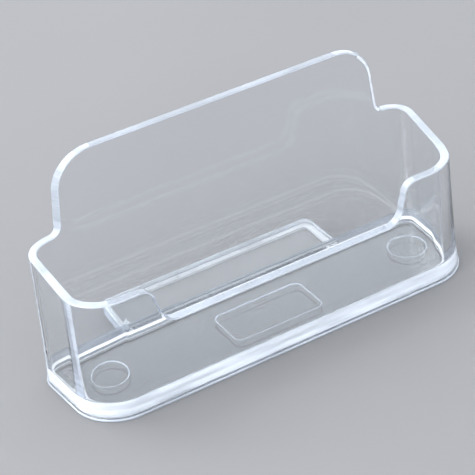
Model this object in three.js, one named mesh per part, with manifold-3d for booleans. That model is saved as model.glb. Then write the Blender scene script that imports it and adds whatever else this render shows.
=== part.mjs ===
// Clear one-piece desk holder for business cards, in millimetres, +Z up.
// The front of the holder faces -Y. The origin is on the table, at the centre of the footprint.
// One injection moulding: a tapered pocket on a raised floor, with a low stabilising foot behind it.

import * as THREE from "three";
import { mergeVertices } from "three/addons/utils/BufferGeometryUtils.js";
import Module from "manifold-3d";

const wasm = await Module();
wasm.setup();

// ---- Driving dimensions -------------------------------------------------------------------

const overallHeight = 51.8;
const openAbove = 8;            // how far a cutting solid reaches past what it cuts

// Pocket, measured about its own centre line. The end walls close in towards the front.
const outer = { width: 99.8, depth: 26.8, frontRadius: 10.6, backRadius: 5.1, frontInset: 1.5 };
const inner = { width: 94.1, depth: 20.9, frontRadius: 7.7, backRadius: 2.2, frontInset: 1.5 };
const outerDraft = 1.08;        // how far the outside has leaned in at the top
const draftEase = 2.5;          // above 1, most of that lean is near the foot of the walls
const draftSteps = 8;

const floorTop = 3.2;
const floorUnderside = 1;
const rimHeight = 0.6;          // parting-line bead round the foot of the walls
const rimReach = 0.25;

// Edge heights of the walls
const panel = { halfWidth: 39.6, topRadius: 8.6, rootHalfWidth: 40.3, rootRadius: 2.5 };
const shoulderHeight = 33.9;
const cornerHeight = 33.2;
const panelOverlap = 0.1;       // how far the back panel's cut starts in front of its inner face
const earHeight = 28.7;
const earLength = 7.6;          // level stretch of the end walls behind the front wall
const lip = { height: 19.4, halfWidth: 30.3, lowerRadius: 4, upperRadius: 3.4, lean: 0.7 };

// Stabilising foot behind the back wall
const foot = { width: 56.4, back: 26.7, height: 3, radius: 2.2, wall: 1.8 };

// Ejector and insert witness marks in the floor
const markDepth = 0.15;
const roundMark = { radius: 4.6, offset: 38.8, centreY: 0.3 };
const panelMark = { width: 22.4, depth: 11.2, radius: 2, centreY: -1.3 };

const arcSteps = 10;
const circleSteps = 40;
const footprintFront = -outer.depth / 2 - rimReach;
const pocketShift = -(footprintFront + foot.back) / 2;

// ---- Solids from three.js geometries ------------------------------------------------------

function solid(geometry) {
  const bare = geometry.clone();
  bare.deleteAttribute("normal");
  bare.deleteAttribute("uv");
  const merged = mergeVertices(bare, 1e-4);
  const mesh = new wasm.Mesh({
    numProp: 3,
    vertProperties: new Float32Array(merged.attributes.position.array),
    triVerts: new Uint32Array(merged.index.array),
  });
  return new wasm.Manifold(mesh);
}

function geometryOf(manifold) {
  const mesh = manifold.getMesh();
  const geometry = new THREE.BufferGeometry();
  geometry.setAttribute("position", new THREE.BufferAttribute(new Float32Array(mesh.vertProperties), 3));
  geometry.setIndex(new THREE.BufferAttribute(new Uint32Array(mesh.triVerts), 1));
  geometry.computeVertexNormals();
  return geometry;
}

function extrude(points, depth, steps = 1) {
  return new THREE.ExtrudeGeometry(new THREE.Shape(points), { depth, steps, bevelEnabled: false });
}

// A plan outline (x, y) raised from one height to another
function raise(points, from, to, steps = 1) {
  return extrude(points, to - from, steps).translate(0, 0, from);
}

// An elevation outline (x, z) run from one y to another
function runAlongY(points, from, to) {
  return extrude(points, to - from).rotateX(Math.PI / 2).translate(0, to, 0);
}

// A side outline (y, z) run along x, centred
function runAlongX(points, length) {
  const turn = new THREE.Matrix4().makeBasis(
    new THREE.Vector3(0, 1, 0),
    new THREE.Vector3(0, 0, 1),
    new THREE.Vector3(1, 0, 0),
  );
  return extrude(points, length).applyMatrix4(turn).translate(-length / 2, 0, 0);
}

// ---- Outlines -----------------------------------------------------------------------------

// A polygon, counter-clockwise, with each corner replaced by an arc of its own radius
function roundedPolygon(corners, radii) {
  const points = [];
  corners.forEach((corner, i) => {
    const before = corners[(i + corners.length - 1) % corners.length];
    const after = corners[(i + 1) % corners.length];
    const back = before.clone().sub(corner).normalize();
    const ahead = after.clone().sub(corner).normalize();
    const halfAngle = Math.acos(back.dot(ahead)) / 2;
    const centre = back.clone().add(ahead).normalize().multiplyScalar(radii[i] / Math.sin(halfAngle)).add(corner);
    const reach = radii[i] / Math.tan(halfAngle);
    const start = back.clone().multiplyScalar(reach).add(corner).sub(centre).angle();
    const sweep = Math.PI - 2 * halfAngle;
    for (let step = 0; step <= arcSteps; step += 1) {
      const angle = start + (sweep * step) / arcSteps;
      points.push(new THREE.Vector2(Math.cos(angle), Math.sin(angle)).multiplyScalar(radii[i]).add(centre));
    }
  });
  return points;
}

function pocketOutline(size, grow = 0) {
  const back = size.width / 2 + grow;
  const front = back - size.frontInset;
  const half = size.depth / 2 + grow;
  const corners = [[front, -half], [back, half], [-back, half], [-front, -half]];
  const frontRadius = size.frontRadius + grow;
  const backRadius = size.backRadius + grow;
  return roundedPolygon(
    corners.map(([x, y]) => new THREE.Vector2(x, y)),
    [frontRadius, backRadius, backRadius, frontRadius],
  );
}

function rectangle(halfWidth, front, back, frontRadius, backRadius) {
  const corners = [[halfWidth, front], [halfWidth, back], [-halfWidth, back], [-halfWidth, front]];
  return roundedPolygon(
    corners.map(([x, y]) => new THREE.Vector2(x, y)),
    [frontRadius, backRadius, backRadius, frontRadius],
  );
}

// A path drawn for +x only, closed by its own mirror image
function mirrored(path) {
  const right = path.getPoints(arcSteps);
  const left = right.map((point) => new THREE.Vector2(-point.x, point.y)).reverse();
  return [...right, ...left];
}

// Back panel seen from the front: big top corners, then a small hollow down to the shoulders
function panelOutline() {
  const topArcHeight = overallHeight - panel.topRadius;
  const hollowHeight = shoulderHeight + panel.rootRadius;
  const hollowCentre = panel.rootHalfWidth + panel.rootRadius;
  const edge = outer.width / 2;
  const path = new THREE.Path();
  path.moveTo(edge, 0);
  path.lineTo(edge, cornerHeight - panel.rootRadius);
  path.quadraticCurveTo((edge + hollowCentre) / 2, shoulderHeight, hollowCentre, shoulderHeight);
  path.absarc(hollowCentre, hollowHeight, panel.rootRadius, -Math.PI / 2, -Math.PI, true);
  path.lineTo(panel.halfWidth, topArcHeight);
  path.absarc(panel.halfWidth - panel.topRadius, topArcHeight, panel.topRadius, 0, Math.PI / 2, false);
  return mirrored(path);
}

// The end walls and ears seen from the side: level behind the front wall, then rising to the back
function sideOutline() {
  const front = -outer.depth / 2 - openAbove;
  const back = outer.depth / 2 + openAbove;
  const levelEnd = -outer.depth / 2 + earLength;
  const path = new THREE.Path();
  path.moveTo(front, 0);
  path.lineTo(back, 0);
  path.lineTo(back, cornerHeight);
  path.lineTo(outer.depth / 2, cornerHeight);
  path.bezierCurveTo(levelEnd + earLength, earHeight + 2, levelEnd + earLength / 2, earHeight, levelEnd, earHeight);
  path.lineTo(front, earHeight);
  return path.getPoints(arcSteps);
}

// The gap between the ears, above the low front lip
function dipOutline() {
  const lowerCentre = lip.halfWidth - lip.lowerRadius;
  const upperCentre = lip.halfWidth + lip.lean + lip.upperRadius;
  const path = new THREE.Path();
  path.moveTo(lowerCentre, lip.height);
  path.absarc(lowerCentre, lip.height + lip.lowerRadius, lip.lowerRadius, -Math.PI / 2, 0, false);
  path.absarc(upperCentre, earHeight - lip.upperRadius, lip.upperRadius, Math.PI, Math.PI / 2, true);
  path.lineTo(upperCentre, overallHeight);
  return mirrored(path);
}

// ---- The moulding -------------------------------------------------------------------------

// Leans the outside of an upright block in towards its top, quickly at first and then hardly at all
function lean(geometry) {
  const position = geometry.attributes.position;
  for (let i = 0; i < position.count; i += 1) {
    const inset = outerDraft * (1 - (1 - position.getZ(i) / overallHeight) ** draftEase);
    position.setX(i, position.getX(i) * (1 - (2 * inset) / outer.width));
    position.setY(i, position.getY(i) * (1 - (2 * inset) / outer.depth));
  }
  return geometry;
}

function pocketWalls() {
  const block = solid(lean(raise(pocketOutline(outer), 0, overallHeight, draftSteps)));
  const hollow = solid(raise(pocketOutline(inner), floorTop, overallHeight + openAbove));
  const shell = block.subtract(hollow);
  const reach = outer.depth / 2 + openAbove;
  const lowWalls = shell.intersect(solid(runAlongX(sideOutline(), outer.width + openAbove)));
  const frontDip = solid(runAlongY(dipOutline(), -reach, 0));
  const backPanel = shell.intersect(solid(runAlongY(panelOutline(), inner.depth / 2 - panelOverlap, reach)));
  return lowWalls.subtract(frontDip).add(backPanel);
}

function rearFoot() {
  const front = inner.depth / 2 + 1;
  const block = solid(raise(rectangle(foot.width / 2, front, foot.back, 0.1, foot.radius), 0, foot.height));
  const hollowRadius = foot.radius - foot.wall / 2;
  const hollowFront = outer.depth / 2 + foot.wall;
  const hollow = rectangle(
    foot.width / 2 - foot.wall,
    hollowFront,
    foot.back - foot.wall,
    hollowRadius,
    hollowRadius,
  );
  return block.subtract(solid(raise(hollow, -openAbove, floorUnderside)));
}

function witnessMarks() {
  const marks = [-1, 1].map((side) => {
    const disc = new THREE.CylinderGeometry(roundMark.radius, roundMark.radius, markDepth * 2, circleSteps);
    return solid(disc.rotateX(Math.PI / 2).translate(side * roundMark.offset, roundMark.centreY, floorTop));
  });
  const half = panelMark.depth / 2;
  const outline = rectangle(
    panelMark.width / 2,
    panelMark.centreY - half,
    panelMark.centreY + half,
    panelMark.radius,
    panelMark.radius,
  );
  marks.push(solid(raise(outline, floorTop - markDepth, floorTop + markDepth)));
  return marks;
}

function moulding() {
  const rim = solid(raise(pocketOutline(outer, rimReach), 0, rimHeight));
  const recess = solid(raise(pocketOutline(inner), -openAbove, floorUnderside));
  let body = pocketWalls().add(rim).subtract(recess).add(rearFoot());
  witnessMarks().forEach((mark) => {
    body = body.subtract(mark);
  });
  return body;
}

// ---- Scene graph --------------------------------------------------------------------------

const clearPlastic = new THREE.MeshStandardMaterial({ color: 0xeaf1f6, roughness: 0.06, metalness: 0 });
clearPlastic.transparent = true;
clearPlastic.opacity = 0.35;

const cardHolder = new THREE.Mesh(geometryOf(moulding()), clearPlastic);
cardHolder.name = "card_holder";
cardHolder.position.y = pocketShift;

const object = new THREE.Group();
object.add(cardHolder);

export default object;
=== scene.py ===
"""Clear one-piece desk holder for business cards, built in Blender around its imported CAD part.

The visible piece is one closed skin: a strip of rings runs from the pocket floor up the inside of the
walls, over their rounded edges, down the outside and under the skirt, and two flat caps close it. The
rear foot and its fillet are joined to it. Places along the walls are given by the developed length s,
measured halfway through the wall from the front centre to the back centre of the right half.
Lengths are in millimetres until a mesh or an object is made. The front of the holder faces -Y.
"""

import math
from functools import lru_cache

import bmesh
import bpy
import numpy as np
from mathutils import Matrix, Vector
from mathutils.geometry import delaunay_2d_cdt

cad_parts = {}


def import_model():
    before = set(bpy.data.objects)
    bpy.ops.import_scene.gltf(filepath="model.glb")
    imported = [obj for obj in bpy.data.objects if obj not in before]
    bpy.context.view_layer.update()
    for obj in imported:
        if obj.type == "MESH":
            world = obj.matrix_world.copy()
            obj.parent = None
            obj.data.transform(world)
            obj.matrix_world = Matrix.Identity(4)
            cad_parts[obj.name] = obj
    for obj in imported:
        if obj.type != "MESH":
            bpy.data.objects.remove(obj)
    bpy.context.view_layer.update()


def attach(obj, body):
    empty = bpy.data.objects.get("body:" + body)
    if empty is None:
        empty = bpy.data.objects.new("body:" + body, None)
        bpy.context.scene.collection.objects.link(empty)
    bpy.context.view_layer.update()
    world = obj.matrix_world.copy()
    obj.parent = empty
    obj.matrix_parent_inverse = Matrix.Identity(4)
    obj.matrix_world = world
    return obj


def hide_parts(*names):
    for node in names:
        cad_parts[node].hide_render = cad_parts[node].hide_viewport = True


MM = 0.001

# ---- Camera: the photograph's viewing angle -----------------------------------------------

FOCAL_LENGTH = 135.29937
SENSOR_WIDTH = 36.0
CAMERA_AZIMUTH = math.radians(-27.184)
CAMERA_ELEVATION = math.radians(32.266)
CAMERA_ROLL = math.radians(-6.894)
CAMERA_DISTANCE = 385.64
CAMERA_TARGET = (-4.31, -6.525, 23.64)
CLIP_START = 0.01  # metres
LIGHT_TARGET = (0.0, 0.0, 0.02)  # metres

# ---- Driving dimensions -------------------------------------------------------------------
# They are the CAD part's, apart from small changes to the back panel's outline, the rise of the end
# walls and the width of the floor's middle mark.

OVERALL_HEIGHT = 51.8
OUTER = (99.8, 26.8, 10.6, 5.1, 1.5)  # width, depth, front radius, back radius, front inset
INNER = (94.1, 20.9, 7.7, 2.2, 1.5)
OUTER_DRAFT = 1.08  # how far the outside has leaned in at the top
DRAFT_EASE = 2.5  # above 1, most of that lean is near the foot of the walls
FLOOR_TOP = 3.2
FLOOR_UNDERSIDE = 1.0
RIM_HEIGHT = 0.6  # of the bead round the foot of the walls
RIM_REACH = 0.25
POCKET_SHIFT = -6.525  # from the pocket's own centre line to the shared frame

PANEL_HALF_WIDTH = 39.4
PANEL_TOP_RADIUS = 9.0
PANEL_ROOT_HALF_WIDTH = 40.1
PANEL_ROOT_RADIUS = 2.5
SHOULDER_HEIGHT = 33.9
EAR_HEIGHT = 28.7
# How the end walls' edge rises above the ears: (height, slope) where the end wall starts, where it
# ends and where the back wall starts
END_RISE = ((0.6, 0.25), (3.5, 0.26), (4.8, 0.2))
RISE_LEAD = 3.0  # how far before the end walls their edge begins to rise
LIP_HEIGHT = 19.4
LIP_HALF_WIDTH = 30.3
LIP_LOWER_RADIUS = 4.0
LIP_UPPER_RADIUS = 3.4
LIP_LEAN = 0.7

FOOT_HALF_WIDTH = 28.2
FOOT_BACK = 26.7
FOOT_HEIGHT = 3.0
FOOT_RADIUS = 2.2
FOOT_WALL = 1.8
FOOT_OVERLAP = 1.0  # how far behind the inside face of the back wall the foot starts

ROUND_MARK_RADIUS = 4.6
ROUND_MARK_OFFSET = 38.8
ROUND_MARK_Y = 0.3
PANEL_MARK = (22.8, 11.2, 2.0, -1.3)  # width, depth, radius, centre y
MARK_DEPTH = 0.15

# ---- Detail that only the visible skin has ------------------------------------------------

EDGE_ROUND = 0.33
PANEL_SPLAY = 0.8  # how much wider the back panel is on its outside face, at each side
FLOOR_FILLET = 0.5
SKIRT_FILLET = 0.3
RIM_ROUND = 0.2
FOOT_ROUND = 0.4
FOOT_FILLET = 0.9
FOOT_LEAD_IN = 0.15  # chamfer at the mouth of the recess under the foot
FOOT_CHAMFER = 0.25  # chamfer at its end
FILLET_BURIED = 0.6  # how far the fillet strip reaches into the wall and the foot
FILLET_OVERLAP = 0.05
FILLET_DIP = 0.02  # how far the fillet ends under the top of the foot
MARK_RING = 0.24  # width of the flat witness line round a mark, which has a painted highlight
MARK_SLOPE = 0.12
GROOVE_TOP = 1.1
GROOVE_DEPTH = 0.14
GROOVE_SLOPE = 0.1  # height over which the groove's upper side runs in
GROOVE_FOOT = 0.05  # height over which its lower side runs out on the bead
BAND_TOP = 4.7  # top of the band round the foot of the walls, which has a painted highlight
SOLE_REACH = 0.4  # how far the white painted light of the underside reaches in under the floor

FLOOR_GAP = 0.02  # keeps the floor plane clear of the faces that stand on it

# ---- Fineness of the mesh -----------------------------------------------------------------

ROUND_STEPS = 5  # of the rounded edges and of the floor's and the foot's roundings
FINE_STEPS = 3  # of the small roundings near the table
FILLET_STEPS = 7
STEPS_PER_MM = 2.2  # of the rise of the end walls
BAND_RINGS = 5
WALL_LEVELS = (0.75, 0.5, 0.25)  # rings of the outside face between its rounded edge and the band
INSIDE_ONLY = 1  # output type of the triangulation: only what lies inside its outlines
CAP_TOLERANCE = 1e-6

# ---- Clear plastic, painted highlights and where they lie ---------------------------------

PLASTIC_IOR = 1.53
FLOW_STRETCH = (0.4, 0.4, 4.0)  # makes the flow lines long and level
SHADE = 0.78  # share of its brightness that a painted highlight keeps in its flow lines
FRONT_EDGE_END = 3.0  # how far round the front corners the flat of the front wall's edge keeps the clearer of the two painted highlights
DIP_REACH = 4.2  # how far from the middle of the dip's side its edge keeps its own painted highlight
EDGE_LINE = 0.35  # width of the painted highlight line on the inside face, along the right side of the panel
EDGE_LINE_ENDS = (41.1, 36.4)  # distances from the centre between which that line runs
# Shares of the corners' arcs with a painted highlight, which run from the front to the back
FRONT_PAINTED_STREAK = (0.79, 0.95)  # left front corner
FRONT_GLINT = (0.68, 0.77)  # right front corner
BACK_GLINT = (0.0, 0.26)  # left back corner

# The clear plastic and its painted highlights, as material slots of the holder
CLEAR, RIM_PAINTED_LIGHT, TOP_PAINTED_LIGHT, SOLE_PAINTED_LIGHT, BAND_PAINTED_LIGHT = 0, 1, 2, 3, 4
# Strips whose finish changes along their length, between clear plastic and painted highlights: the outside
# face, the rounded edges, the edge's flat and the line along the edge on the inside face
OUTSIDE, ROUNDED, FLAT, LINE = 5, 6, 7, 8


# ---- Plan outline of the pocket -----------------------------------------------------------


@lru_cache(maxsize=None)
def half_outline(size, grow):
    """Segments of the right half of a rounded trapezoid, from the front centre to the back centre.

    A line is (start, end) and an arc is (centre, radius, start angle, sweep).
    """
    width, depth, front_radius, back_radius, inset = size
    half_depth = depth / 2 + grow
    back_x = width / 2 + grow
    front_x = back_x - inset
    slant = math.atan2(inset, 2 * half_depth)
    front_radius += grow
    back_radius += grow
    front_reach = front_radius * math.tan((math.pi / 2 - slant) / 2)
    back_reach = back_radius * math.tan((math.pi / 2 + slant) / 2)
    along = np.array([math.sin(slant), math.cos(slant)])
    front_corner = np.array([front_x, -half_depth])
    back_corner = np.array([back_x, half_depth])
    front_centre = (front_x - front_reach, -half_depth + front_radius)
    back_centre = (back_x - back_reach, half_depth - back_radius)
    return (
        (np.array([0.0, -half_depth]), np.array([front_x - front_reach, -half_depth])),
        (np.array(front_centre), front_radius, -math.pi / 2, math.pi / 2 - slant),
        (front_corner + along * front_reach, back_corner - along * back_reach),
        (np.array(back_centre), back_radius, -slant, math.pi / 2 + slant),
        (np.array([back_x - back_reach, half_depth]), np.array([0.0, half_depth])),
    )


def outline_point(size, grow, segment, fraction):
    """The plan point at a fraction of the way along one segment of an outline."""
    piece = half_outline(size, grow)[segment]
    if len(piece) == 2:
        return piece[0] + (piece[1] - piece[0]) * fraction
    centre, radius, start, sweep = piece
    angle = start + sweep * fraction
    return centre + radius * np.array([math.cos(angle), math.sin(angle)])


def segment_lengths():
    """Lengths of the five segments, halfway through the wall."""
    lengths = []
    for inner, outer in zip(half_outline(INNER, 0.0), half_outline(OUTER, 0.0)):
        if len(inner) == 2:
            lengths.append(np.linalg.norm(inner[1] - inner[0]))
        else:
            lengths.append((inner[1] + outer[1]) / 2 * inner[3])
    return lengths


LENGTHS = segment_lengths()
STARTS = [sum(LENGTHS[:i]) for i in range(len(LENGTHS))]
HALF_LENGTH = sum(LENGTHS)


def station(s):
    """(segment, fraction) of a developed length s from the front centre."""
    s = min(max(s, 0.0), HALF_LENGTH)
    segment = max(i for i, start in enumerate(STARTS) if s >= start - 1e-9)
    return segment, (s - STARTS[segment]) / LENGTHS[segment]


def from_back(x):
    """Developed length of a point on the back wall at x from the centre."""
    return HALF_LENGTH - x


def draft_at(z):
    """How far the outside has leaned in at height z."""
    above = max(0.0, 1 - z / OVERALL_HEIGHT)
    return OUTER_DRAFT * (1 - above**DRAFT_EASE)


def wall_point(s, depth, z):
    """A point of the wall at a developed length, depth 0 on its inside face and 1 on its outside."""
    segment, fraction = station(s)
    inside = outline_point(INNER, 0.0, segment, fraction)
    outside = outline_point(OUTER, -draft_at(z), segment, fraction)
    x, y = inside + (outside - inside) * depth
    return (x, y, z)


def wall_thickness(s, z):
    """Wall thickness at a developed length and height."""
    return math.dist(wall_point(s, 0.0, z), wall_point(s, 1.0, z))


# ---- The curve of the upper edge, in developed length and height --------------------------


def arc(centre, radius, start, end, steps):
    """Points of an arc, angles in degrees, without its first point."""
    angles = np.radians(np.linspace(start, end, steps + 1)[1:])
    return [(centre[0] + radius * math.cos(a), centre[1] + radius * math.sin(a)) for a in angles]


def straight(start, end, steps):
    """Points of a straight run, without its first point."""
    fractions = np.linspace(0, 1, steps + 1)[1:]
    return [(start[0] + (end[0] - start[0]) * f, start[1] + (end[1] - start[1]) * f) for f in fractions]


def smooth_run(knots):
    """Points of a smooth curve through knots (s, z, slope), without its first point."""
    points = []
    for (s0, z0, m0), (s1, z1, m1) in zip(knots, knots[1:]):
        span = s1 - s0
        count = max(2, round(STEPS_PER_MM * span))
        for t in np.linspace(0, 1, count + 1)[1:]:
            h00 = (1 + 2 * t) * (1 - t) ** 2
            h10 = t * (1 - t) ** 2
            h01 = t * t * (3 - 2 * t)
            h11 = t * t * (t - 1)
            points.append((s0 + span * t, h00 * z0 + h10 * span * m0 + h01 * z1 + h11 * span * m1))
    return points


def edge_curve():
    """Upper edge of the right half, from the lip's centre to the back panel's centre.

    The last number of each run and arc is its count of steps.
    """
    points = [(0.0, LIP_HEIGHT)]
    lower_x = LIP_HALF_WIDTH - LIP_LOWER_RADIUS
    upper_x = LIP_HALF_WIDTH + LIP_LEAN + LIP_UPPER_RADIUS
    upper_z = EAR_HEIGHT - LIP_UPPER_RADIUS
    points += straight(points[-1], (lower_x, LIP_HEIGHT), 14)
    points += arc((lower_x, LIP_HEIGHT + LIP_LOWER_RADIUS), LIP_LOWER_RADIUS, -90, 0, 14)
    points += straight(points[-1], (upper_x - LIP_UPPER_RADIUS, upper_z), 2)
    points += arc((upper_x, upper_z), LIP_UPPER_RADIUS, 180, 90, 12)
    points += straight(points[-1], (STARTS[1], EAR_HEIGHT), 2)
    points += straight(points[-1], (STARTS[2] - RISE_LEAD, EAR_HEIGHT), 26)
    root_x = PANEL_ROOT_HALF_WIDTH + PANEL_ROOT_RADIUS
    root_z = SHOULDER_HEIGHT + PANEL_ROOT_RADIUS
    rising = [(s, EAR_HEIGHT + rise, slope) for s, (rise, slope) in zip(STARTS[2:], END_RISE)]
    level_end = (STARTS[2] - RISE_LEAD, EAR_HEIGHT, 0.0)
    points += smooth_run([level_end, *rising, (from_back(root_x), SHOULDER_HEIGHT, 0.0)])
    points += arc((from_back(root_x), root_z), PANEL_ROOT_RADIUS, -90, 0, 12)
    top_z = OVERALL_HEIGHT - PANEL_TOP_RADIUS
    points += straight(points[-1], (from_back(PANEL_HALF_WIDTH), top_z), 4)
    points += arc(
        (from_back(PANEL_HALF_WIDTH - PANEL_TOP_RADIUS), top_z), PANEL_TOP_RADIUS, 180, 90, 20
    )
    points += straight(points[-1], (HALF_LENGTH, OVERALL_HEIGHT), 16)
    return np.array(points)


def edge_normals(points):
    """Unit normals of the edge curve that point up and out of the wall."""
    ahead = np.roll(points, -1, axis=0) - points
    behind = points - np.roll(points, 1, axis=0)
    ahead /= np.linalg.norm(ahead, axis=1)[:, None]
    behind /= np.linalg.norm(behind, axis=1)[:, None]
    tangent = ahead + behind
    tangent[0] = tangent[-1] = (1.0, 0.0)
    tangent /= np.linalg.norm(tangent, axis=1)[:, None]
    return np.column_stack([-tangent[:, 1], tangent[:, 0]])


# ---- The skin -----------------------------------------------------------------------------


def quarter(steps):
    """Cosine and sine pairs of a quarter turn, both ends included."""
    angles = np.linspace(0, math.pi / 2, steps + 1)
    return [(math.cos(a), math.sin(a)) for a in angles]


def plan_rows(size, places, profile, finish):
    """Half rings at (reach, height) of a profile, each with the finish of the strip after it."""
    return [
        ([(*outline_point(size, reach, *place), z) for place in places], finish)
        for reach, z in profile
    ]


def base_rows(places):
    """Half rings below the walls, from the outside round the bead to the recess under the floor."""
    band = [(-draft_at(z), z) for z in np.linspace(BAND_TOP, GROOVE_TOP, BAND_RINGS)]
    groove = [
        (-draft_at(GROOVE_TOP) - GROOVE_DEPTH, GROOVE_TOP - GROOVE_SLOPE),
        (-GROOVE_DEPTH, RIM_HEIGHT + GROOVE_FOOT),
        (0.0, RIM_HEIGHT),
    ]
    bead = [
        (RIM_REACH - RIM_ROUND + RIM_ROUND * c, RIM_HEIGHT - RIM_ROUND + RIM_ROUND * s)
        for c, s in reversed(quarter(FINE_STEPS))
    ]
    bead += [
        (RIM_REACH - RIM_ROUND + RIM_ROUND * c, RIM_ROUND - RIM_ROUND * s) for c, s in quarter(FINE_STEPS)
    ]
    skirt = [
        (RIM_ROUND - RIM_ROUND * c, RIM_ROUND - RIM_ROUND * s)
        for c, s in reversed(quarter(FINE_STEPS))
    ]
    skirt += [
        (SKIRT_FILLET * (c - 1), FLOOR_UNDERSIDE - SKIRT_FILLET + SKIRT_FILLET * s)
        for c, s in quarter(FINE_STEPS)
    ]
    skirt.append((-SOLE_REACH, FLOOR_UNDERSIDE))
    # The band and the bead get painted highlights and the skirt the white painted light of the underside;
    # the groove stays clear
    return [
        *plan_rows(OUTER, places, band, BAND_PAINTED_LIGHT),
        *plan_rows(OUTER, places, groove, CLEAR),
        *plan_rows(OUTER, places, bead, RIM_PAINTED_LIGHT),
        *plan_rows(INNER, places, skirt, SOLE_PAINTED_LIGHT),
    ]


def skin_rows():
    """Half rings from the pocket floor over the edge to the underside, each with its finish."""
    curve = edge_curve()
    normals = edge_normals(curve)
    places = [station(s) for s in (curve - normals * EDGE_ROUND)[:, 0]]
    fillet = [
        (FLOOR_FILLET * (c - 1), FLOOR_TOP + FLOOR_FILLET * (1 - s))
        for c, s in reversed(quarter(ROUND_STEPS))
    ]
    # The floor's fillet gets the white painted light of the underside; the inside face above it stays
    # clear
    rows = plan_rows(INNER, places, fillet, SOLE_PAINTED_LIGHT)
    rows[-1] = (rows[-1][0], CLEAR)
    rows.append((edge_row(curve, normals, EDGE_ROUND + EDGE_LINE, 0.0, True), LINE))
    offsets = [(EDGE_ROUND * (1 - s), EDGE_ROUND * (1 - c)) for c, s in quarter(ROUND_STEPS)]
    rows += [(edge_row(curve, normals, drop, inset, True), ROUNDED) for drop, inset in offsets]
    rows[-1] = (rows[-1][0], FLAT)
    offsets.reverse()
    rows += [(edge_row(curve, normals, drop, inset, False), ROUNDED) for drop, inset in offsets]
    rows[-1] = (rows[-1][0], OUTSIDE)
    rows += [(level_row(curve, normals, level), OUTSIDE) for level in WALL_LEVELS]
    return rows + base_rows(places)


def sunk(point, normal, drop, inside):
    """A point of the edge curve moved down into the wall, on its inside or its splayed outside."""
    splay = 0.0 if inside or point[0] < STARTS[4] else PANEL_SPLAY * normal[0] ** 2
    return point - normal * (drop - splay)


def edge_row(curve, normals, drop, inset, inside):
    """One ring of the rounded edge, drop below the edge curve and inset from a face of the wall."""
    row = []
    for point, normal in zip(curve, normals):
        s, z = sunk(point, normal, drop, inside)
        share = inset / wall_thickness(s, z)
        row.append(wall_point(s, share if inside else 1 - share, z))
    return row


def level_row(curve, normals, level):
    """One ring of the outside face, at a level from 0 at the band to 1 under the rounded edge."""
    row = []
    for point, normal in zip(curve, normals):
        low = sunk(point, normal, EDGE_ROUND, True)
        s, z = sunk(point, normal, EDGE_ROUND, False)
        row.append(wall_point(low[0] + (s - low[0]) * level, 1.0, BAND_TOP + (z - BAND_TOP) * level))
    return row


def finish_at(finish, s, left):
    """The finish of a strip at a developed length, on the left or the right half.

    The highlights are painted: white colour where the clear plastic looks bright from the light it
    gathers, along the edges and in the few places round the corners and beside the panel that a camera at
    the front left sees.
    """
    on_dip = abs(s - LIP_HALF_WIDTH) < DIP_REACH
    on_panel_top = s > from_back(PANEL_HALF_WIDTH - PANEL_TOP_RADIUS)
    on_panel_side = from_back(EDGE_LINE_ENDS[0]) < s < from_back(EDGE_LINE_ENDS[1])
    if finish == LINE:
        return BAND_PAINTED_LIGHT if on_panel_side and not left else CLEAR
    if finish == ROUNDED and on_panel_side and not left:
        return BAND_PAINTED_LIGHT
    if finish == ROUNDED:
        return TOP_PAINTED_LIGHT if on_panel_top or on_dip and left else RIM_PAINTED_LIGHT
    if finish == FLAT:
        on_side = s > STARTS[1] + FRONT_EDGE_END and not on_panel_top
        return RIM_PAINTED_LIGHT if on_side or on_dip and not left else TOP_PAINTED_LIGHT
    if finish != OUTSIDE:
        return finish
    segment, share = station(s)
    if segment == 1 and left and FRONT_PAINTED_STREAK[0] < share < FRONT_PAINTED_STREAK[1]:
        return TOP_PAINTED_LIGHT
    if segment == 1 and not left and FRONT_GLINT[0] < share < FRONT_GLINT[1]:
        return TOP_PAINTED_LIGHT
    if segment == 3 and left and BACK_GLINT[0] < share < BACK_GLINT[1]:
        return RIM_PAINTED_LIGHT
    return CLEAR


def column_finishes(finish):
    """The finish of each face of a strip, once round from the front centre."""
    lengths = edge_curve()[:, 0]
    middles = (lengths[1:] + lengths[:-1]) / 2
    right = [finish_at(finish, s, False) for s in middles]
    left = [finish_at(finish, s, True) for s in middles[::-1]]
    return right + left


def full_ring(row):
    """A half ring and its mirror image, as one closed ring without doubled points."""
    left = [(-x, y, z) for x, y, z in reversed(row[1:-1])]
    return [*row, *left]


def bridge(bm, lower, upper, finish):
    """Quads between two rings of vertices. The finish is one for all, or a list of one for each."""
    count = len(lower)
    finishes = finish if isinstance(finish, list) else [finish] * count
    for i in range(count):
        j = (i + 1) % count
        face = bm.faces.new((lower[i], lower[j], upper[j], upper[i]))
        face.material_index = finishes[i]


def add_ring(bm, points):
    """A ring of new vertices, from points in millimetres."""
    return [bm.verts.new((x * MM, (y + POCKET_SHIFT) * MM, z * MM)) for x, y, z in points]


def cap(bm, rings, upward, finish=CLEAR):
    """Fills the flat area inside the first ring and outside the others."""
    verts = [v for ring in rings for v in ring]
    flat = [Vector((v.co.x, v.co.y)) / MM for v in verts]
    edges = []
    start = 0
    for ring in rings:
        count = len(ring)
        edges += [(start + i, start + (i + 1) % count) for i in range(count)]
        start += count
    holes = []
    start = len(rings[0])
    for ring in rings[1:]:
        holes.append(flat[start : start + len(ring)])
        start += len(ring)
    _, _, triangles, origins, _, _ = delaunay_2d_cdt(flat, edges, [], INSIDE_ONLY, CAP_TOLERANCE)
    for triangle in triangles:
        corners = [verts[origins[i][0]] for i in triangle]
        centre = sum((Vector((v.co.x, v.co.y)) for v in corners), Vector((0, 0))) / len(corners) / MM
        if any(inside_polygon(centre, hole) for hole in holes):
            continue
        face = bm.faces.new(corners if upward else corners[::-1])
        face.material_index = finish


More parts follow.
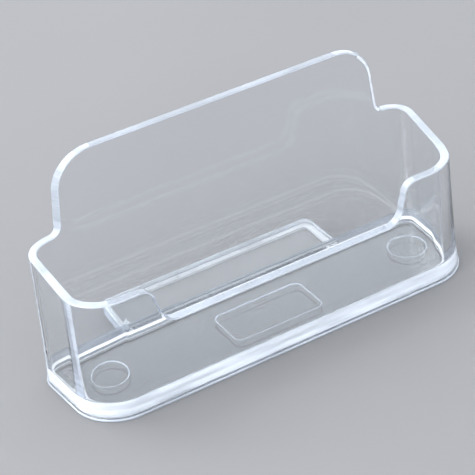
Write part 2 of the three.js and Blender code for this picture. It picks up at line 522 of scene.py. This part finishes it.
def inside_polygon(point, polygon):
    """True if the point is inside the closed polygon."""
    found = False
    for a, b in zip(polygon, polygon[1:] + polygon[:1]):
        if (a.y > point.y) != (b.y > point.y):
            if point.x < (b.x - a.x) * (point.y - a.y) / (b.y - a.y) + a.x:
                found = not found
    return found


# ---- Witness marks ------------------------------------------------------------------------


def circle(x, y, radius, count=56):
    """Points of a circle, counter-clockwise."""
    angles = np.linspace(0, 2 * math.pi, count, endpoint=False)
    return [(x + radius * math.cos(a), y + radius * math.sin(a)) for a in angles]


def rounded_rectangle(width, depth, radius, centre_y, grow):
    """Points of a rounded rectangle, counter-clockwise."""
    half_x, half_y = width / 2 - radius, depth / 2 - radius
    points = []
    corners = ((half_x, -half_y, -90), (half_x, half_y, 0), (-half_x, half_y, 90), (-half_x, -half_y, 180))
    for x, y, start in corners:
        for angle in np.radians(np.linspace(start, start + 90, 9)):
            reach = radius + grow
            points.append((x + reach * math.cos(angle), centre_y + y + reach * math.sin(angle)))
    return points


def mark_outlines(grow):
    """Outlines of the witness marks in the floor, grown by some millimetres."""
    return [
        circle(-ROUND_MARK_OFFSET, ROUND_MARK_Y, ROUND_MARK_RADIUS + grow),
        circle(ROUND_MARK_OFFSET, ROUND_MARK_Y, ROUND_MARK_RADIUS + grow),
        rounded_rectangle(*PANEL_MARK, grow),
    ]


def sink_marks(bm):
    """Shallow marks with sloped sides. Returns their outer rings, which the floor leaves open."""
    outer_rings = []
    levels = ((0.0, FLOOR_TOP), (-MARK_RING, FLOOR_TOP), (-MARK_RING - MARK_SLOPE, FLOOR_TOP - MARK_DEPTH))
    for lines in zip(*(mark_outlines(grow) for grow, _ in levels)):
        rings = [
            add_ring(bm, [(x, y, z) for x, y in line]) for line, (_, z) in zip(lines, levels)
        ]
        for outer, inner in zip(rings, rings[1:]):
            # Painted highlight on each mark's witness line and sloped side
            bridge(bm, outer, inner, RIM_PAINTED_LIGHT)
        bm.faces.new(rings[-1])
        outer_rings.append(rings[0])
    return outer_rings


def build_skin():
    """The pocket as one closed mesh."""
    bm = bmesh.new()
    rows = skin_rows()
    rings = [add_ring(bm, full_ring(row)) for row, _ in rows]
    for lower, upper, (_, finish) in zip(rings, rings[1:], rows):
        bridge(bm, lower, upper, column_finishes(finish))
    cap(bm, [rings[0], *sink_marks(bm)], True)
    cap(bm, [rings[-1]], False)
    return finished_mesh(bm, "pocket_skin")


def finished_mesh(bm, name):
    """A mesh from a bmesh with its faces turned outwards."""
    bmesh.ops.recalc_face_normals(bm, faces=bm.faces[:])
    mesh = bpy.data.meshes.new(name)
    bm.to_mesh(mesh)
    bm.free()
    return mesh


# ---- The rear foot ------------------------------------------------------------------------


def foot_outline(grow):
    """Plan of the foot. Its front end is buried in the back wall."""
    front = INNER[1] / 2 + FOOT_OVERLAP
    half = FOOT_HALF_WIDTH + grow
    back = FOOT_BACK + grow
    radius = FOOT_RADIUS + grow
    points = [(half, front)]
    for x, y, start in ((half - radius, back - radius, 0), (radius - half, back - radius, 90)):
        for angle in np.radians(np.linspace(start, start + 90, 13)):
            points.append((x + radius * math.cos(angle), y + radius * math.sin(angle)))
    points.append((-half, front))
    return points


def foot_hollow(grow):
    """Plan of the recess under the foot."""
    front = OUTER[1] / 2 + FOOT_WALL
    back = FOOT_BACK - FOOT_WALL
    radius = FOOT_RADIUS - FOOT_WALL / 2
    width = 2 * (FOOT_HALF_WIDTH - FOOT_WALL)
    return rounded_rectangle(width, back - front, radius, (front + back) / 2, grow)


def build_foot():
    """The foot as one closed mesh, hollow underneath."""
    bm = bmesh.new()
    profile = []
    for c, s in reversed(quarter(ROUND_STEPS)):
        profile.append((FOOT_ROUND * (c - 1), FOOT_HEIGHT - FOOT_ROUND + FOOT_ROUND * s))
    for c, s in quarter(FINE_STEPS):
        profile.append((RIM_ROUND * (c - 1), RIM_ROUND * (1 - s)))
    rings = []
    for grow, z in profile:
        rings.append(add_ring(bm, [(x, y, z) for x, y in foot_outline(grow)]))
    # Painted highlight on the outside of the foot
    for upper, lower in zip(rings, rings[1:]):
        bridge(bm, lower, upper, RIM_PAINTED_LIGHT)
    bm.faces.new(rings[0])
    levels = (
        (FOOT_LEAD_IN, 0.0),
        (0.0, FOOT_LEAD_IN),
        (0.0, FLOOR_UNDERSIDE - FOOT_CHAMFER),
        (-FOOT_CHAMFER, FLOOR_UNDERSIDE),
    )
    hollow = [add_ring(bm, [(x, y, z) for x, y in foot_hollow(grow)]) for grow, z in levels]
    # White painted light on the sides of the recess and, by the cap below, on the underside of the foot
    for lower, upper in zip(hollow, hollow[1:]):
        bridge(bm, lower, upper, SOLE_PAINTED_LIGHT)
    bm.faces.new(hollow[-1])
    cap(bm, [rings[-1], hollow[0]], False, SOLE_PAINTED_LIGHT)
    return finished_mesh(bm, "foot_skin")


def build_foot_fillet():
    """A concave strip between the top of the foot and the back wall."""
    bm = bmesh.new()
    wall = OUTER[1] / 2 - draft_at(FOOT_HEIGHT)
    buried = wall - FILLET_BURIED
    end = wall + FOOT_FILLET + FILLET_OVERLAP
    bottom = FOOT_HEIGHT - FILLET_BURIED
    section = [(buried, bottom), (end, bottom), (end, FOOT_HEIGHT - FILLET_DIP)]
    for c, s in reversed(quarter(FILLET_STEPS)):
        section.append((wall + FOOT_FILLET * (1 - c), FOOT_HEIGHT + FOOT_FILLET * (1 - s)))
    section.append((buried, FOOT_HEIGHT + FOOT_FILLET))
    half = FOOT_HALF_WIDTH - FOOT_ROUND
    ends = [add_ring(bm, [(x, y, z) for y, z in section]) for x in (-half, half)]
    # White painted light on the fillet strip
    bridge(bm, ends[0], ends[1], SOLE_PAINTED_LIGHT)
    bm.faces.new(ends[0])
    bm.faces.new(ends[1])
    return finished_mesh(bm, "fillet_skin")


# ---- Joining ------------------------------------------------------------------------------


def link(name, mesh):
    """A new object in the scene."""
    made = bpy.data.objects.new(name, mesh)
    bpy.context.scene.collection.objects.link(made)
    return made


def joined(meshes, name, finishes):
    """One object whose mesh is the union of closed meshes, with its finishes in its material slots."""
    for mesh in meshes:
        for finish in finishes:
            mesh.materials.append(finish)
    whole = link(name, meshes[0])
    for mesh in meshes[1:]:
        other = link("joining", mesh)
        union = whole.modifiers.new("union", "BOOLEAN")
        union.operation = "UNION"
        union.solver = "EXACT"
        union.object = other
        graph = bpy.context.evaluated_depsgraph_get()
        result = bpy.data.meshes.new_from_object(whole.evaluated_get(graph))
        whole.modifiers.clear()
        whole.data = result
        bpy.data.objects.remove(other)
    whole.data.name = name
    return whole


def make_holder():
    """The visible card holder."""
    finishes = [
        clear_plastic(),
        # Painted highlights: whiter, less clear copies of the plastic that stand in for the light it
        # gathers
        painted_light_material("painted_rim_highlight", (0.5, 0.55, 0.62, 1.0), 0.45, 0.08),
        painted_light_material("painted_top_highlight", (0.68, 0.75, 0.87, 1.0), 0.72, 0.08),
        painted_light_material("painted_sole_light", (0.96, 0.98, 1.0, 1.0), 0.1, 0.3),
        painted_light_material("painted_band_highlight", (0.72, 0.77, 0.85, 1.0), 0.35, 0.1),
    ]
    holder = joined([build_skin(), build_foot(), build_foot_fillet()], "card_holder_clear", finishes)
    for polygon in holder.data.polygons:
        polygon.use_smooth = True
    weighted = holder.modifiers.new("weighted_normals", "WEIGHTED_NORMAL")
    weighted.mode = "FACE_AREA"
    weighted.weight = 50
    weighted.keep_sharp = False
    return holder


# ---- Materials ----------------------------------------------------------------------------


def new_material(name):
    """A node material: (material, nodes, links, its Principled node)."""
    material = bpy.data.materials.new(name)
    material.use_nodes = True
    nodes, links = material.node_tree.nodes, material.node_tree.links
    return material, nodes, links, nodes["Principled BSDF"]


def clear_plastic():
    """Clear moulded plastic with a faint handling haze in its roughness."""
    material, nodes, links, shader = new_material("clear_plastic")
    shader.inputs["Base Color"].default_value = (0.965, 0.982, 1.0, 1.0)
    shader.inputs["Transmission Weight"].default_value = 1.0
    shader.inputs["IOR"].default_value = PLASTIC_IOR
    place = nodes.new("ShaderNodeTexCoord")
    haze = nodes.new("ShaderNodeTexNoise")
    haze.inputs["Scale"].default_value = 90.0
    haze.inputs["Detail"].default_value = 4.0
    links.new(place.outputs["Object"], haze.inputs["Vector"])
    spread = nodes.new("ShaderNodeMapRange")
    spread.inputs["To Min"].default_value = 0.0
    spread.inputs["To Max"].default_value = 0.07
    links.new(haze.outputs["Fac"], spread.inputs["Value"])
    links.new(spread.outputs["Result"], shader.inputs["Roughness"])
    return material


def painted_light_material(name, highlight_colour, transmission, roughness):
    """The same plastic painted whiter and less clear, a painted highlight where it looks bright from the
    light it gathers: edges, corners, marks and the foot of the walls.
    """
    material, nodes, links, shader = new_material(name)
    shader.inputs["Transmission Weight"].default_value = transmission
    shader.inputs["IOR"].default_value = PLASTIC_IOR
    place = nodes.new("ShaderNodeTexCoord")
    stretch = nodes.new("ShaderNodeMapping")
    stretch.inputs["Scale"].default_value = FLOW_STRETCH
    links.new(place.outputs["Object"], stretch.inputs["Vector"])
    streaks = nodes.new("ShaderNodeTexNoise")
    streaks.inputs["Scale"].default_value = 220.0
    streaks.inputs["Detail"].default_value = 3.0
    links.new(stretch.outputs["Vector"], streaks.inputs["Vector"])
    highlight_ramp = nodes.new("ShaderNodeValToRGB")
    highlight_ramp.color_ramp.elements[0].position = 0.35
    highlight_ramp.color_ramp.elements[0].color = [channel * SHADE for channel in highlight_colour[:3]] + [1.0]
    highlight_ramp.color_ramp.elements[1].position = 0.6
    highlight_ramp.color_ramp.elements[1].color = highlight_colour
    links.new(streaks.outputs["Fac"], highlight_ramp.inputs["Fac"])
    links.new(highlight_ramp.outputs["Color"], shader.inputs["Base Color"])
    spread = nodes.new("ShaderNodeMapRange")
    spread.inputs["To Min"].default_value = roughness * 0.5
    spread.inputs["To Max"].default_value = roughness * 1.5
    links.new(streaks.outputs["Fac"], spread.inputs["Value"])
    links.new(spread.outputs["Result"], shader.inputs["Roughness"])
    return material


def pale_floor():
    """Matt pale grey, with a very faint mottle."""
    material, nodes, links, shader = new_material("pale_floor")
    shader.inputs["Roughness"].default_value = 0.9
    mottle = nodes.new("ShaderNodeTexNoise")
    mottle.inputs["Scale"].default_value = 60.0
    ramp = nodes.new("ShaderNodeValToRGB")
    ramp.color_ramp.elements[0].color = (0.125, 0.125, 0.129, 1.0)
    ramp.color_ramp.elements[1].color = (0.145, 0.145, 0.149, 1.0)
    links.new(mottle.outputs["Fac"], ramp.inputs["Fac"])
    links.new(ramp.outputs["Color"], shader.inputs["Base Color"])
    return material


# ---- Scene --------------------------------------------------------------------------------


def make_camera():
    """The camera at the photograph's viewing angle."""
    cos_e = math.cos(CAMERA_ELEVATION)
    back = Vector(
        (
            math.sin(CAMERA_AZIMUTH) * cos_e,
            -math.cos(CAMERA_AZIMUTH) * cos_e,
            math.sin(CAMERA_ELEVATION),
        )
    )
    level = Vector((0, 0, 1)).cross(back).normalized()
    upright = back.cross(level)
    cos_r, sin_r = math.cos(CAMERA_ROLL), math.sin(CAMERA_ROLL)
    right = level * cos_r + upright * sin_r
    up = upright * cos_r - level * sin_r
    place = (Vector(CAMERA_TARGET) + back * CAMERA_DISTANCE) * MM
    data = bpy.data.cameras.new("camera")
    data.sensor_width = SENSOR_WIDTH
    data.lens = FOCAL_LENGTH
    data.clip_start = CLIP_START
    camera = bpy.data.objects.new("camera", data)
    bpy.context.scene.collection.objects.link(camera)
    turn = Matrix((right, up, back)).transposed().to_4x4()
    camera.matrix_world = Matrix.Translation(place) @ turn
    bpy.context.scene.camera = camera


def area_light(name, place, size, power):
    """A square soft light that faces the holder. Its place and size are in metres."""
    data = bpy.data.lights.new(name, "AREA")
    data.size = size
    data.energy = power
    light = bpy.data.objects.new(name, data)
    bpy.context.scene.collection.objects.link(light)
    light.location = place
    away = Vector(place) - Vector(LIGHT_TARGET)
    light.rotation_mode = "QUATERNION"
    light.rotation_quaternion = away.to_track_quat("Z", "Y")


def make_lights():
    """Soft overcast surroundings, a broad key light from behind and a side light from the left."""
    world = bpy.data.worlds.new("studio")
    bpy.context.scene.world = world
    world.use_nodes = True
    background = world.node_tree.nodes["Background"]
    background.inputs["Color"].default_value = (0.93, 0.96, 1.0, 1.0)
    background.inputs["Strength"].default_value = 2.6
    bpy.context.scene.view_settings.view_transform = "Standard"
    area_light("key", (-0.35, 0.55, 0.75), 0.5, 6.0)
    area_light("side", (-0.75, -0.15, 0.35), 0.6, 7.0)


def make_floor():
    """A plain floor under the holder."""
    bm = bmesh.new()
    bmesh.ops.create_grid(bm, x_segments=1, y_segments=1, size=4.0)
    floor = link("floor", finished_mesh(bm, "floor"))
    floor.location.z = -FLOOR_GAP * MM
    floor.data.materials.append(pale_floor())


def main():
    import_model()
    make_camera()
    holder = make_holder()
    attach(holder, "root")
    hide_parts("card_holder")
    make_floor()
    make_lights()


main()
